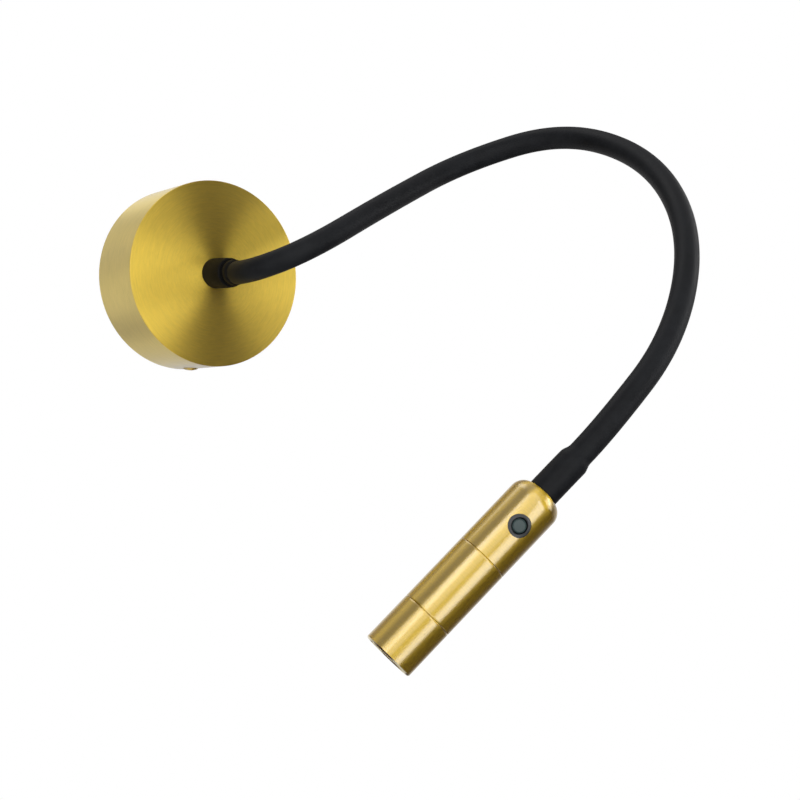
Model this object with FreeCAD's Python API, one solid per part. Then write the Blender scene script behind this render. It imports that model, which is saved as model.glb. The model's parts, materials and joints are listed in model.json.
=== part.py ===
import FreeCAD, Part
import math
import os

# A wall-mounted reading lamp: a round brass rose, a flexible black arm and a slim brass head with a push button.
# Millimetres. The wall is the plane y = 0, the lamp stands out towards -Y, +X is right and +Z is up.
# The origin is the centre of the rose on the wall.

Vector = FreeCAD.Vector
ORIGIN = Vector(0, 0, 0)
FULL_TURN = 360
QUARTER_TURN = 90
HEX_TURN = 60

# General fits
fit_gap = 0.1
cut_overrun = 1.0
least_run = 0.01

# Rose cover, a turned cup
rose_radius = 40.0
rose_depth = 31.5
rose_wall = 1.5
rose_edge_break = 0.3

# Cover screws, at six and twelve o'clock
cover_screw_height = 8.0
cover_screw_head_radius = 3.4
cover_screw_radius = 2.0
cover_screw_sink = 1.6
cover_screw_length = 6.5
cover_screw_slot_width = 0.8
cover_screw_slot_depth = 0.7

# Wall plate
plate_thickness = 1.5
plate_gap = 0.5
wall_screw_spacing = 54.0
wall_screw_slot_width = 4.5
wall_screw_slot_length = 12.0
cable_entry_radius = 7.5
tab_width = 10.0
tab_height = 12.0
tab_thickness = 1.5
tab_gap = 0.6

# Driver: the supply unit, a moulded case with a lid
driver_depth = 17.0
driver_wall = 1.5
driver_top_offset = 11.0
driver_screw_gap = 2.5
driver_corner_gap = 1.6
driver_pad_thickness = 0.8
driver_pad_margin = 3.0
driver_lid_thickness = 1.5
driver_lid_step = 1.0
board_thickness = 1.6
board_gap = 0.5
board_stand = 2.0
board_foot_height = 4.0
coil_width = 11.0
coil_margin = 2.1
coil_depth = 7.0
can_radius = 3.5
can_depth = 8.0
can_spacing = 11.0

# Terminal block
block_width = 28.0
block_height = 13.0
block_depth = 12.0
block_offset = 13.0
pole_count = 3
pole_spacing = 8.5
pole_row_spacing = 6.0
pole_screw_radius = 1.4
pole_screw_length = 3.5
pole_hole_depth = 4.5
pole_slot_width = 0.6
pole_slot_depth = 0.6
supply_wire_radius = 1.2
supply_wire_depth = 8.0

# Earth screw on the wall plate
earth_rim_gap = 14.5
earth_z = 8.0
earth_head_radius = 3.2
earth_head_height = 2.4
earth_shank_radius = 1.9

# Gland that carries the arm through the rose's front
collar_radius = 6.65
collar_length = 16.0
collar_edge = 0.5
stem_radius = 5.0
stem_length = 9.5
stem_bore_radius = 3.2
socket_floor = 1.8
nut_flats = 13.0
nut_height = 3.0
washer_radius = 8.2
washer_thickness = 0.8

# Ferrule crimped on the arm's rose end
ferrule_radius = 5.5
ferrule_groove = 0.6
ferrule_lip_radius = 6.25
ferrule_lip_length = 3.0
ferrule_lip_edge = 1.0
ferrule_floor = 1.6

# Flexible arm: sleeve over a wound metal hose over a two-core lead
arm_radius = 4.9
sleeve_wall = 0.7
hose_wall = 1.6
lead_radius = 1.8
ball_relief = 0.1
joint_gap = 0.6

# Route of the arm: corners that the arm rounds off, as shares of the span, from the mouth of the rose's ferrule
arm_span = 100.0
arm_first_run = 13.0
corner_shares = [
    (0.17, -0.33, 0.06),
    (0.57, -0.24, 0.295),
    (1.06, -0.12, 0.535),
    (1.39, -0.45, 0.655),
    (1.43, -0.97, 0.47),
    (1.28, -1.39, 0.11),
    (0.97, -1.63, -0.335),
    (0.60, -1.64, -0.685),
    (0.396, -1.551, -0.91),
]

# Boot: the sleeve swells over the ferrule at the head
boot_radius = 5.9
boot_length = 15.4
boot_cone_length = 4.0
boot_wall = 0.8

# Ferrule crimped on the arm's head end
head_ferrule_floor = 0.8
head_stem_radius = 4.0
head_stem_length = 9.0
head_stem_bore_radius = 2.1
head_nut_flats = 10.0
head_nut_height = 3.0

# Head: three turned brass barrels in a line
head_radius = 10.0
rear_cap_length = 31.6
middle_barrel_length = 28.0
front_barrel_length = 20.0
rear_edge_radius = 5.5
rear_wall = 4.0
barrel_wall = 1.8
barrel_edge_break = 0.15
spigot_length = 5.0
spigot_wall = 1.2
front_chamfer = 0.5

# Push button in the rear cap
button_place = 15.6
bezel_radius = 4.15
bezel_bore_radius = 3.0
bezel_chamfer = 0.35
bezel_bottom = 2.2
bezel_floor = 2.4
button_radius = 2.6
button_top = 9.6
button_thickness = 1.3
button_edge = 0.3
button_dish = 0.25
button_stem_radius = 0.9
button_stem_gap = 0.3
button_travel = 0.7
dome_foot_radius = 2.7
dome_top_radius = 2.1
dome_wall = 0.7
switch_length = 8.0
switch_width = 8.0
switch_height = 6.5

# Light source in the front barrels
sink_place = 42.6
sink_flange_length = 2.0
sink_bore_radius = 2.2
sink_groove_count = 4
sink_groove_width = 1.2
sink_groove_depth = 1.0
sink_groove_pitch = 3.2
led_board_thickness = 1.2
led_radius = 2.6
led_thickness = 0.7
reflector_length = 6.8
reflector_throat = 3.2
reflector_lip = 1.1
lens_thickness = 2.4
lens_edge = 1.4
seal_width = 1.2
seal_thickness = 0.5
ring_width = 1.25
ring_thickness = 1.3
wire_radius = 0.55
wire_spacing = 2.4


# Helpers


def save(name, solids):
    """Write one node."""
    shape = solids[0] if len(solids) == 1 else Part.makeCompound(solids)
    shape.exportStep("parts/" + name + ".step")
    print(name, len(solids), round(sum(s.Volume for s in solids), 1), all(s.isValid() for s in solids))


def axes(origin, along, up):
    """Placement with local X along one direction and local Z as near as can be to another."""
    x = Vector(along).normalize()
    z = Vector(up) - x * x.dot(Vector(up))
    z.normalize()
    y = z.cross(x)
    return FreeCAD.Placement(
        FreeCAD.Matrix(x.x, y.x, z.x, origin.x, x.y, y.y, z.y, origin.y, x.z, y.z, z.z, origin.z)
    )


def put(shape, place):
    """A copy of a shape moved from a local frame to the part's frame."""
    moved = shape.copy()
    moved.Placement = place.multiply(moved.Placement)
    return moved


def turned(outline):
    """Solid turned about local X. Points are (along, radius); four numbers are an arc's middle and end."""
    edges = []
    start = Vector(outline[0][0], outline[0][1], 0)
    for item in outline[1:] + [outline[0][:2]]:
        end = Vector(item[-2], item[-1], 0)
        if len(item) == 4:
            edges.append(Part.Arc(start, Vector(item[0], item[1], 0), end).toShape())
        else:
            edges.append(Part.LineSegment(start, end).toShape())
        start = end
    return Part.Face(Part.Wire(edges)).revolve(ORIGIN, Vector(1, 0, 0), FULL_TURN)


def ring(start, end, outer, inner):
    """Turned ring from start to end along local X, or a disc where the inner radius is zero."""
    return turned([(start, inner), (start, outer), (end, outer), (end, inner)])


def box(x, y, z):
    """Box from three (low, high) pairs."""
    return Part.makeBox(x[1] - x[0], y[1] - y[0], z[1] - z[0], Vector(x[0], y[0], z[0]))


def hexagon(start, end, flats, bore):
    """Hexagonal nut along local X."""
    corner = flats / math.sqrt(3)
    points = []
    for k in range(7):
        turn = math.radians(HEX_TURN * k)
        points.append(Vector(start, corner * math.cos(turn), corner * math.sin(turn)))
    blank = Part.Face(Part.makePolygon(points)).extrude(Vector(end - start, 0, 0))
    return blank.cut(Part.makeCylinder(bore, end - start, Vector(start, 0, 0), Vector(1, 0, 0)))


def arc_middle(radius, first, last):
    """Point at the middle of an arc about the origin, between two points on it."""
    turn = (math.atan2(first[1], first[0]) + math.atan2(last[1], last[0])) / 2
    return radius * math.cos(turn), radius * math.sin(turn)


# Wall rose, in a frame with local X out of the wall, local Y along world X and local Z up

ROSE = axes(ORIGIN, Vector(0, -1, 0), Vector(0, 0, 1))
rose_bore_radius = rose_radius - rose_wall
earth_x = rose_bore_radius - earth_rim_gap
front_inside = rose_depth - rose_wall


def screw_hole(radius, inner, outer, side):
    """Round cutter through the rose's side at six or twelve o'clock."""
    start = Vector(cover_screw_height, 0, side * inner)
    return Part.makeCylinder(radius, outer - inner, start, Vector(0, 0, side))


def sunk_head(radius, side):
    """Cone of a countersunk head whose wide end is on the rose's surface."""
    base = Vector(cover_screw_height, 0, side * (rose_radius - cover_screw_sink))
    return Part.makeCone(radius - cover_screw_sink, radius, cover_screw_sink, base, Vector(0, 0, side))


def make_canopy_cover():
    edge = rose_edge_break
    cup = turned(
        [
            (0, rose_bore_radius),
            (0, rose_radius),
            (rose_depth - edge, rose_radius),
            (rose_depth, rose_radius - edge),
            (rose_depth, stem_radius + fit_gap),
            (front_inside, stem_radius + fit_gap),
            (front_inside, rose_bore_radius),
        ]
    )
    drill = cover_screw_radius + fit_gap
    for side in (1, -1):
        cup = cup.cut(screw_hole(drill, rose_bore_radius - cut_overrun, rose_radius + cut_overrun, side))
        cup = cup.cut(sunk_head(cover_screw_head_radius + fit_gap, side))
    return [cup]


def make_cover_screws():
    screws = []
    for side in (1, -1):
        tip = rose_radius - cover_screw_length
        shank = screw_hole(cover_screw_radius, tip, rose_radius - cover_screw_sink, side)
        screw = shank.fuse(sunk_head(cover_screw_head_radius, side)).removeSplitter()
        half = cover_screw_slot_width / 2
        floor = rose_radius - cover_screw_slot_depth
        top = rose_radius + cut_overrun
        reach = cover_screw_head_radius + cut_overrun
        slot = box(
            (cover_screw_height - reach, cover_screw_height + reach),
            (-half, half),
            (floor, top) if side > 0 else (-top, -floor),
        )
        screws.append(screw.cut(slot).Solids[0])
    return screws


def make_wall_plate():
    plate_radius = rose_bore_radius - plate_gap
    plate = ring(0, plate_thickness, plate_radius, cable_entry_radius)
    drill = cover_screw_radius + fit_gap
    tab_outer = rose_bore_radius - tab_gap
    tab_inner = tab_outer - tab_thickness
    for side in (1, -1):
        high = (tab_inner, tab_outer) if side > 0 else (-tab_outer, -tab_inner)
        plate = plate.fuse(box((0, tab_height), (-tab_width / 2, tab_width / 2), high))
    for side in (1, -1):
        plate = plate.cut(screw_hole(drill, tab_inner - cut_overrun, tab_outer + cut_overrun, side))
        plate = plate.cut(wall_slot(side))
    shank = Part.makeCylinder(
        earth_shank_radius + fit_gap, plate_thickness, Vector(0, earth_x, earth_z), Vector(1, 0, 0)
    )
    return [plate.cut(shank).removeSplitter().Solids[0]]


def wall_slot(side):
    """Slotted hole for a wall screw, running along world X."""
    half = wall_screw_slot_width / 2
    reach = wall_screw_slot_length / 2 - half
    middle = side * wall_screw_spacing / 2
    slot = box((0, plate_thickness), (middle - reach, middle + reach), (-half, half))
    for end in (1, -1):
        centre = Vector(0, middle + end * reach, 0)
        slot = slot.fuse(Part.makeCylinder(half, plate_thickness, centre, Vector(1, 0, 0)))
    return slot.removeSplitter()


def make_earth_screw():
    at = Vector(plate_thickness, earth_x, earth_z)
    head = Part.makeCylinder(earth_head_radius, earth_head_height, at, Vector(1, 0, 0))
    shank = Part.makeCylinder(earth_shank_radius, plate_thickness, Vector(0, earth_x, earth_z), Vector(1, 0, 0))
    return [head.fuse(shank).removeSplitter().Solids[0]]


# Driver

driver_back = plate_thickness + driver_pad_thickness
driver_front = driver_back + driver_depth
driver_top = -driver_top_offset
driver_bottom = cover_screw_length + driver_screw_gap - rose_radius
driver_half = math.sqrt((rose_bore_radius - driver_corner_gap) ** 2 - driver_bottom**2)
driver_lead_place = driver_back + driver_depth / 2
driver_board_back = driver_back + driver_wall + board_stand
driver_board_front = driver_board_back + board_thickness


def make_driver_pad():
    reach = driver_half - driver_pad_margin
    high = (driver_bottom + driver_pad_margin, driver_top - driver_pad_margin)
    return [box((plate_thickness, driver_back), (-reach, reach), high)]


def make_driver_case():
    wall = driver_wall
    case = box((driver_back, driver_front), (-driver_half, driver_half), (driver_bottom, driver_top))
    room = box(
        (driver_back + wall, driver_front),
        (-driver_half + wall, driver_half - wall),
        (driver_bottom + wall, driver_top - wall),
    )
    case = case.cut(room)
    for side in (1, -1):
        wire = Vector(supply_wire_depth, side * pole_spacing, driver_top - wall)
        case = case.cut(Part.makeCylinder(supply_wire_radius + fit_gap, wall, wire, Vector(0, 0, 1)))
    lead = Vector(driver_lead_place, 0, driver_top - wall)
    return [case.cut(Part.makeCylinder(lead_radius + fit_gap, wall, lead, Vector(0, 0, 1)))]


def make_driver_lid():
    wall = driver_wall + fit_gap
    lid = box(
        (driver_front, driver_front + driver_lid_thickness),
        (-driver_half, driver_half),
        (driver_bottom, driver_top),
    )
    step = box(
        (driver_front - driver_lid_step, driver_front),
        (-driver_half + wall, driver_half - wall),
        (driver_bottom + wall, driver_top - wall),
    )
    return [lid.fuse(step).removeSplitter().Solids[0]]


def make_driver_board():
    side = driver_half - driver_wall - board_gap
    low = driver_bottom + driver_wall + board_gap
    high = driver_top - driver_wall - board_gap - lead_radius
    middle = (low + high) / 2
    board = box((driver_board_back, driver_board_front), (-side, side), (low, high))
    foot = box(
        (driver_back + driver_wall, driver_board_back),
        (-coil_width / 2, coil_width / 2),
        (middle - board_foot_height / 2, middle + board_foot_height / 2),
    )
    coil = box(
        (driver_board_front, driver_board_front + coil_depth),
        (-coil_width / 2, coil_width / 2),
        (low + coil_margin, high - coil_margin),
    )
    board = board.fuse([foot, coil])
    for end in (1, -1):
        base = Vector(driver_board_front, end * can_spacing, middle)
        board = board.fuse(Part.makeCylinder(can_radius, can_depth, base, Vector(1, 0, 0)))
    return [board.removeSplitter().Solids[0]]


# Terminal block and supply wires

block_front = plate_thickness + block_depth


def pole_places():
    """Places of the clamping screws, two rows of one to each pole."""
    middle = block_offset + block_height / 2
    first = -(pole_count - 1) / 2
    return [
        Vector(block_front, (first + pole) * pole_spacing, middle + row * pole_row_spacing / 2)
        for pole in range(pole_count)
        for row in (1, -1)
    ]


def make_terminal_block():
    block = box(
        (plate_thickness, block_front),
        (-block_width / 2, block_width / 2),
        (block_offset, block_offset + block_height),
    )
    for place in pole_places():
        drill = Part.makeCylinder(pole_screw_radius + fit_gap, pole_hole_depth, place, Vector(-1, 0, 0))
        block = block.cut(drill)
    return [block]


def make_terminal_screws():
    screws = []
    half = pole_slot_width / 2
    for place in pole_places():
        floor = place - Vector(pole_hole_depth, 0, 0)
        screw = Part.makeCylinder(pole_screw_radius, pole_screw_length, floor, Vector(1, 0, 0))
        top = floor.x + pole_screw_length
        slot = box(
            (top - pole_slot_depth, top + cut_overrun),
            (place.y - half, place.y + half),
            (place.z - pole_screw_radius, place.z + pole_screw_radius),
        )
        screws.append(screw.cut(slot).Solids[0])
    return screws


def make_supply_wires():
    length = block_offset - driver_top + driver_wall
    return [
        Part.makeCylinder(
            supply_wire_radius,
            length,
            Vector(supply_wire_depth, side * pole_spacing, driver_top - driver_wall),
            Vector(0, 0, 1),
        )
        for side in (1, -1)
    ]


# Gland and ferrule at the rose

collar_front = rose_depth + collar_length
socket_start = rose_depth + socket_floor
lip_back = collar_front + ferrule_groove
mouth = lip_back + ferrule_lip_length
sleeve_bore = arm_radius - sleeve_wall
hose_radius = sleeve_bore - fit_gap
hose_bore = hose_radius - hose_wall
hose_start = socket_start + fit_gap + ferrule_floor


def make_gland_collar():
    bore = ferrule_radius + fit_gap
    return [
        turned(
            [
                (rose_depth - stem_length, stem_bore_radius),
                (rose_depth - stem_length, stem_radius),
                (rose_depth, stem_radius),
                (rose_depth, collar_radius),
                (collar_front - collar_edge, collar_radius),
                (collar_front, collar_radius - collar_edge),
                (collar_front, bore),
                (socket_start, bore),
                (socket_start, stem_bore_radius),
            ]
        )
    ]


def make_gland_washer():
    return [ring(front_inside - washer_thickness, front_inside, washer_radius, stem_radius + fit_gap)]


def make_gland_nut():
    end = front_inside - washer_thickness
    return [hexagon(end - nut_height, end, nut_flats, stem_radius + fit_gap)]


def make_base_ferrule():
    round_off = ferrule_lip_edge
    knee = round_off * (1 - math.sqrt(0.5))
    bore = hose_radius + fit_gap
    return [
        turned(
            [
                (socket_start + fit_gap, lead_radius + fit_gap),
                (socket_start + fit_gap, ferrule_radius),
                (lip_back, ferrule_radius),
                (lip_back, ferrule_lip_radius),
                (mouth - round_off, ferrule_lip_radius),
                (mouth - knee, ferrule_lip_radius - knee, mouth, ferrule_lip_radius - round_off),
                (mouth, bore),
                (hose_start, bore),
                (hose_start, lead_radius + fit_gap),
            ]
        )
    ]


# Route of the arm


def corners():
    """The mouth of the ferrule, each corner of the route, and the middle of the head's rear face."""
    start = Vector(0, -mouth, 0)
    points = [start, start + Vector(0, -arm_first_run, 0)]
    for share in corner_shares:
        points.append(start + Vector(*share) * arm_span)
    return points


ROUTE = corners()
LAST_LINK = len(ROUTE) - 2
boot_total = boot_length + boot_cone_length


def leg(index):
    return (ROUTE[index + 1] - ROUTE[index]).Length


def heading(index):
    return (ROUTE[index + 1] - ROUTE[index]).normalize()


def hinge(index):
    """Centre of the joint between one link and the next: the middle of the run between two corners."""
    return (ROUTE[index] + ROUTE[index + 1]) * 0.5


def link_start(link):
    return ROUTE[0] if link == 1 else hinge(link - 1)


def link_end(link):
    return ROUTE[-1] if link == LAST_LINK else hinge(link)


def link_reach(link):
    """How far a link's arc reaches back and forth from its corner."""
    before = leg(0) if link == 1 else leg(link - 1) / 2
    after = leg(link) - boot_total if link == LAST_LINK else leg(link) / 2
    return min(before, after)


def flat_ring(centre, normal, outer, inner):
    """Flat ring, or a disc where the inner radius is zero."""
    wires = [Part.Wire(Part.Circle(centre, normal, outer).toShape())]
    if inner > 0:
        wires.append(Part.Wire(Part.Circle(centre, normal, inner).toShape()))
    return Part.Face(wires) if len(wires) == 1 else Part.Face(wires[0]).cut(Part.Face(wires[1])).Faces[0]


def link_pieces(link, outer, inner, end):
    """A run, an arc and a run that follow the route through one link's corner."""
    before = heading(link - 1)
    after = heading(link)
    corner = ROUTE[link]
    reach = link_reach(link)
    turn = before.getAngle(after)
    radius = reach / math.tan(turn / 2)
    arc_start = corner - before * reach
    arc_end = corner + after * reach
    inward = before.cross(after).cross(before).normalize()
    start = link_start(link)
    pieces = []
    if (arc_start - start).Length > least_run:
        pieces.append(flat_ring(start, before, outer, inner).extrude(arc_start - start))
    section = flat_ring(arc_start, before, outer, inner)
    pieces.append(
        section.revolve(arc_start + inward * radius, before.cross(inward), math.degrees(turn))
    )
    if (end - arc_end).Length > least_run:
        pieces.append(flat_ring(arc_end, after, outer, inner).extrude(end - arc_end))
    print("link", link, "bend radius", round(radius, 1), "turn", round(math.degrees(turn), 1))
    return pieces


def ball_end(outer, inner):
    """The rounded end of a layer, about the joint's centre."""
    ball = arm_radius - ball_relief
    edge = min(outer, ball)
    outline = [(0, inner), (0, edge)]
    rim = (math.sqrt(ball**2 - edge**2), edge)
    tip = (math.sqrt(ball**2 - inner**2), inner)
    if rim[0] > 0:
        outline.append(rim)
    outline.append(arc_middle(ball, rim, tip) + tip)
    return turned(outline)


def joined(pieces):
    """One solid from pieces that meet face to face."""
    if len(pieces) == 1:
        return pieces[0]
    return pieces[0].fuse(pieces[1:]).removeSplitter().Solids[0]


def make_link(link, outer, inner, more=()):
    """One layer of one link: hollow at its near joint, rounded at its far joint."""
    last = link == LAST_LINK
    end = ROUTE[-1] - heading(link) * boot_total if last else link_end(link)
    pieces = link_pieces(link, outer, inner, end) + list(more)
    if not last:
        pieces.append(put(ball_end(outer, inner), axes(end, heading(link), heading(link - 1))))
    layer = joined(pieces)
    if link > 1:
        layer = layer.cut(Part.makeSphere(arm_radius - ball_relief + joint_gap, link_start(link))).Solids[0]
    return [layer]


# Head frame: local X from the rear to the lens, local Z towards the button, which faces level with the ground

HEAD_AXIS = heading(LAST_LINK)
BUTTON_WAY = Vector(0, 0, 1).cross(HEAD_AXIS).normalize()
HEAD = axes(ROUTE[-1], HEAD_AXIS, BUTTON_WAY)
head_length = rear_cap_length + middle_barrel_length + front_barrel_length
barrel_bore = head_radius - barrel_wall
spigot_radius = barrel_bore - fit_gap
spigot_bore = spigot_radius - spigot_wall
middle_end = rear_cap_length + middle_barrel_length
cup_radius = boot_radius - boot_wall - fit_gap


def make_sleeve(link):
    if link != LAST_LINK:
        return make_link(link, arm_radius, sleeve_bore)
    bore = cup_radius + fit_gap
    boot = turned(
        [
            (-boot_total, sleeve_bore),
            (-boot_total, arm_radius),
            (-boot_length, boot_radius),
            (0, boot_radius),
            (0, bore),
            (-boot_length, bore),
            (-boot_length, sleeve_bore),
        ]
    )
    return make_link(link, arm_radius, sleeve_bore, [put(boot, HEAD)])


def make_hose(link):
    more = []
    if link == 1:
        more.append(put(ring(hose_start, mouth, hose_radius, hose_bore), ROSE))
    if link == LAST_LINK:
        more.append(put(ring(-boot_total, -head_ferrule_floor, hose_radius, hose_bore), HEAD))
    return make_link(link, hose_radius, hose_bore, more)


def make_lead(link):
    more = []
    if link == 1:
        more += [put(piece, ROSE) for piece in rose_lead_pieces()]
    if link == LAST_LINK:
        end = button_place - switch_length / 2
        more.append(put(ring(-boot_total, end, lead_radius, 0), HEAD))
    return make_link(link, lead_radius, 0, more)


def rose_lead_pieces():
    """The lead inside the rose: down into the driver, round a quarter turn and out along the axis."""
    bend = driver_top_offset / 2
    quarter_start = Vector(driver_lead_place, 0, -bend)
    centre = quarter_start + Vector(bend, 0, 0)
    down = Part.makeCylinder(
        lead_radius,
        -bend - driver_top + driver_wall,
        Vector(driver_lead_place, 0, driver_top - driver_wall),
        Vector(0, 0, 1),
    )
    disc = flat_ring(quarter_start, Vector(0, 0, 1), lead_radius, 0)
    quarter = disc.revolve(centre, Vector(0, 1, 0), QUARTER_TURN)
    out = ring(centre.x, mouth, lead_radius, 0)
    return [down, quarter, out]


# Head pieces


def make_head_ferrule():
    cup_start = -boot_length + fit_gap
    return [
        turned(
            [
                (cup_start, hose_radius + fit_gap),
                (cup_start, cup_radius),
                (0, cup_radius),
                (0, head_stem_radius),
                (head_stem_length, head_stem_radius),
                (head_stem_length, head_stem_bore_radius),
                (-head_ferrule_floor + fit_gap, head_stem_bore_radius),
                (-head_ferrule_floor + fit_gap, hose_radius + fit_gap),
            ]
        )
    ]


def make_head_nut():
    return [hexagon(rear_wall, rear_wall + head_nut_height, head_nut_flats, head_stem_radius + fit_gap)]


def make_rear_cap():
    edge = rear_edge_radius
    knee = edge * (1 - math.sqrt(0.5))
    break_ = barrel_edge_break
    cap = turned(
        [
            (0, head_stem_radius + fit_gap),
            (0, head_radius - edge),
            (knee, head_radius - knee, edge, head_radius),
            (rear_cap_length - break_, head_radius),
            (rear_cap_length, head_radius - break_),
            (rear_cap_length, barrel_bore),
            (rear_wall, barrel_bore),
            (rear_wall, head_stem_radius + fit_gap),
        ]
    )
    hole = Part.makeCylinder(
        bezel_radius + fit_gap, head_radius, Vector(button_place, 0, bezel_bottom), Vector(0, 0, 1)
    )
    return [cap.cut(hole).Solids[0]]


def make_middle_barrel():
    break_ = barrel_edge_break
    start = rear_cap_length
    return [
        turned(
            [
                (start - spigot_length, spigot_bore),
                (start - spigot_length, spigot_radius),
                (start, spigot_radius),
                (start, head_radius - break_),
                (start + break_, head_radius),
                (middle_end - break_, head_radius),
                (middle_end, head_radius - break_),
                (middle_end, spigot_radius),
                (middle_end + spigot_length, spigot_radius),
                (middle_end + spigot_length, spigot_bore),
            ]
        )
    ]


def make_front_barrel():
    break_ = barrel_edge_break
    return [
        turned(
            [
                (middle_end, barrel_bore),
                (middle_end, head_radius - break_),
                (middle_end + break_, head_radius),
                (head_length - front_chamfer, head_radius),
                (head_length, head_radius - front_chamfer),
                (head_length, barrel_bore),
            ]
        )
    ]


# Switch


def make_switch_body():
    half_length = switch_length / 2
    half_width = switch_width / 2
    return [
        box(
            (button_place - half_length, button_place + half_length),
            (-half_width, half_width),
            (bezel_bottom - switch_height, bezel_bottom),
        )
    ]


def along_button(solid):
    """Stand a solid turned about local X on the button's own axis."""
    return put(solid, axes(Vector(button_place, 0, 0), Vector(0, 0, 1), Vector(1, 0, 0)))


def make_switch_bezel():
    seat = bezel_bottom + bezel_floor
    blank = turned(
        [
            (bezel_bottom, button_stem_radius + button_stem_gap),
            (bezel_bottom, bezel_radius),
            (head_radius + cut_overrun, bezel_radius),
            (head_radius + cut_overrun, bezel_bore_radius + bezel_chamfer + cut_overrun),
            (head_radius - bezel_chamfer, bezel_bore_radius),
            (seat, bezel_bore_radius),
            (seat, button_stem_radius + button_stem_gap),
        ]
    )
    skin = Part.makeCylinder(
        head_radius, 2 * bezel_radius, Vector(button_place - bezel_radius, 0, 0), Vector(1, 0, 0)
    )
    return [along_button(blank).common(skin).Solids[0]]


def make_button_cap():
    under = button_top - button_thickness
    dished = button_top - button_dish
    foot = bezel_bottom + button_travel + fit_gap
    rim = button_radius - button_edge
    return [
        along_button(
            turned(
                [
                    (foot, 0),
                    (foot, button_stem_radius),
                    (under, button_stem_radius),
                    (under, button_radius),
                    (button_top - button_edge, button_radius),
                    (button_top, rim),
                    (dished, rim - button_dish),
                    (dished, 0),
                ]
            )
        )
    ]


def make_return_dome():
    """Rubber dome that pushes the button back up, on the bezel's floor."""
    floor = bezel_bottom + bezel_floor
    under = button_top - button_thickness
    return [
        along_button(
            turned(
                [
                    (floor, dome_foot_radius - dome_wall),
                    (floor, dome_foot_radius),
                    (under, dome_top_radius),
                    (under, dome_top_radius - dome_wall),
                ]
            )
        )
    ]


# Light source

sink_flange_start = middle_end + spigot_length
board_start = sink_flange_start + sink_flange_length
board_end = board_start + led_board_thickness
reflector_end = board_end + reflector_length
lens_end = reflector_end + lens_thickness
seal_end = lens_end + seal_thickness
inside_radius = barrel_bore - fit_gap


def make_heat_sink():
    slug_radius = spigot_bore - fit_gap
    outline = [(sink_place, sink_bore_radius), (sink_place, slug_radius)]
    for k in range(sink_groove_count):
        start = sink_place + sink_groove_pitch * (k + 1)
        floor = slug_radius - sink_groove_depth
        outline += [(start, slug_radius), (start, floor)]
        outline += [(start + sink_groove_width, floor), (start + sink_groove_width, slug_radius)]
    outline += [
        (sink_flange_start, slug_radius),
        (sink_flange_start, inside_radius),
        (board_start, inside_radius),
        (board_start, sink_bore_radius),
    ]
    return [turned(outline)]


def make_led_board():
    return [ring(board_start, board_end, inside_radius, 0)]


def make_led_chip():
    return [ring(board_end, board_end + led_thickness, led_radius, 0)]


def make_reflector():
    return [
        turned(
            [
                (board_end, reflector_throat),
                (board_end, inside_radius),
                (reflector_end, inside_radius),
                (reflector_end, inside_radius - reflector_lip),
            ]
        )
    ]


def make_lens():
    crown = lens_thickness - lens_edge
    edge = inside_radius - seal_width
    radius = (edge**2 + crown**2) / (2 * crown)
    half = edge / 2
    middle = reflector_end + lens_edge - (radius - crown) + math.sqrt(radius**2 - half**2)
    return [
        turned(
            [
                (reflector_end, 0),
                (reflector_end, inside_radius),
                (reflector_end + lens_edge, inside_radius),
                (reflector_end + lens_edge, edge),
                (middle, half, reflector_end + lens_thickness, 0),
            ]
        )
    ]


def make_seal_ring():
    start = reflector_end + lens_edge
    return [ring(start, start + seal_thickness, inside_radius, inside_radius - seal_width + fit_gap)]


def make_retaining_ring():
    start = reflector_end + lens_edge + seal_thickness
    return [ring(start, start + ring_thickness, inside_radius, inside_radius - ring_width)]


def make_led_wires():
    start = button_place + switch_length / 2
    return [
        Part.makeCylinder(
            wire_radius, board_start - start, Vector(start, side * wire_spacing / 2, 0), Vector(1, 0, 0)
        )
        for side in (1, -1)
    ]


# Write every node

os.makedirs("parts", exist_ok=True)

rose_nodes = {
    "canopy_cover": make_canopy_cover,
    "cover_screws": make_cover_screws,
    "wall_plate": make_wall_plate,
    "earth_screw": make_earth_screw,
    "driver_pad": make_driver_pad,
    "driver_case": make_driver_case,
    "driver_lid": make_driver_lid,
    "driver_board": make_driver_board,
    "terminal_block": make_terminal_block,
    "terminal_screws": make_terminal_screws,
    "supply_wires": make_supply_wires,
    "gland_collar": make_gland_collar,
    "gland_washer": make_gland_washer,
    "gland_nut": make_gland_nut,
    "base_ferrule": make_base_ferrule,
}
head_nodes = {
    "head_ferrule": make_head_ferrule,
    "head_nut": make_head_nut,
    "rear_cap": make_rear_cap,
    "middle_barrel": make_middle_barrel,
    "front_barrel": make_front_barrel,
    "switch_body": make_switch_body,
    "switch_bezel": make_switch_bezel,
    "button_cap": make_button_cap,
    "return_dome": make_return_dome,
    "heat_sink": make_heat_sink,
    "led_board": make_led_board,
    "led_chip": make_led_chip,
    "reflector": make_reflector,
    "lens": make_lens,
    "seal_ring": make_seal_ring,
    "retaining_ring": make_retaining_ring,
    "led_wires": make_led_wires,
}
arm_nodes = {"sleeve": make_sleeve, "hose": make_hose, "lead": make_lead}

for name, make in rose_nodes.items():
    save(name, [put(solid, ROSE) for solid in make()])
for name, make in head_nodes.items():
    save(name, [put(solid, HEAD) for solid in make()])
for name, make in arm_nodes.items():
    for number in range(1, LAST_LINK + 1):
        save(name + "_" + str(number), make(number))
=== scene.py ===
import json
import math

import bmesh
import bpy
from mathutils import Matrix, Vector

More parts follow.
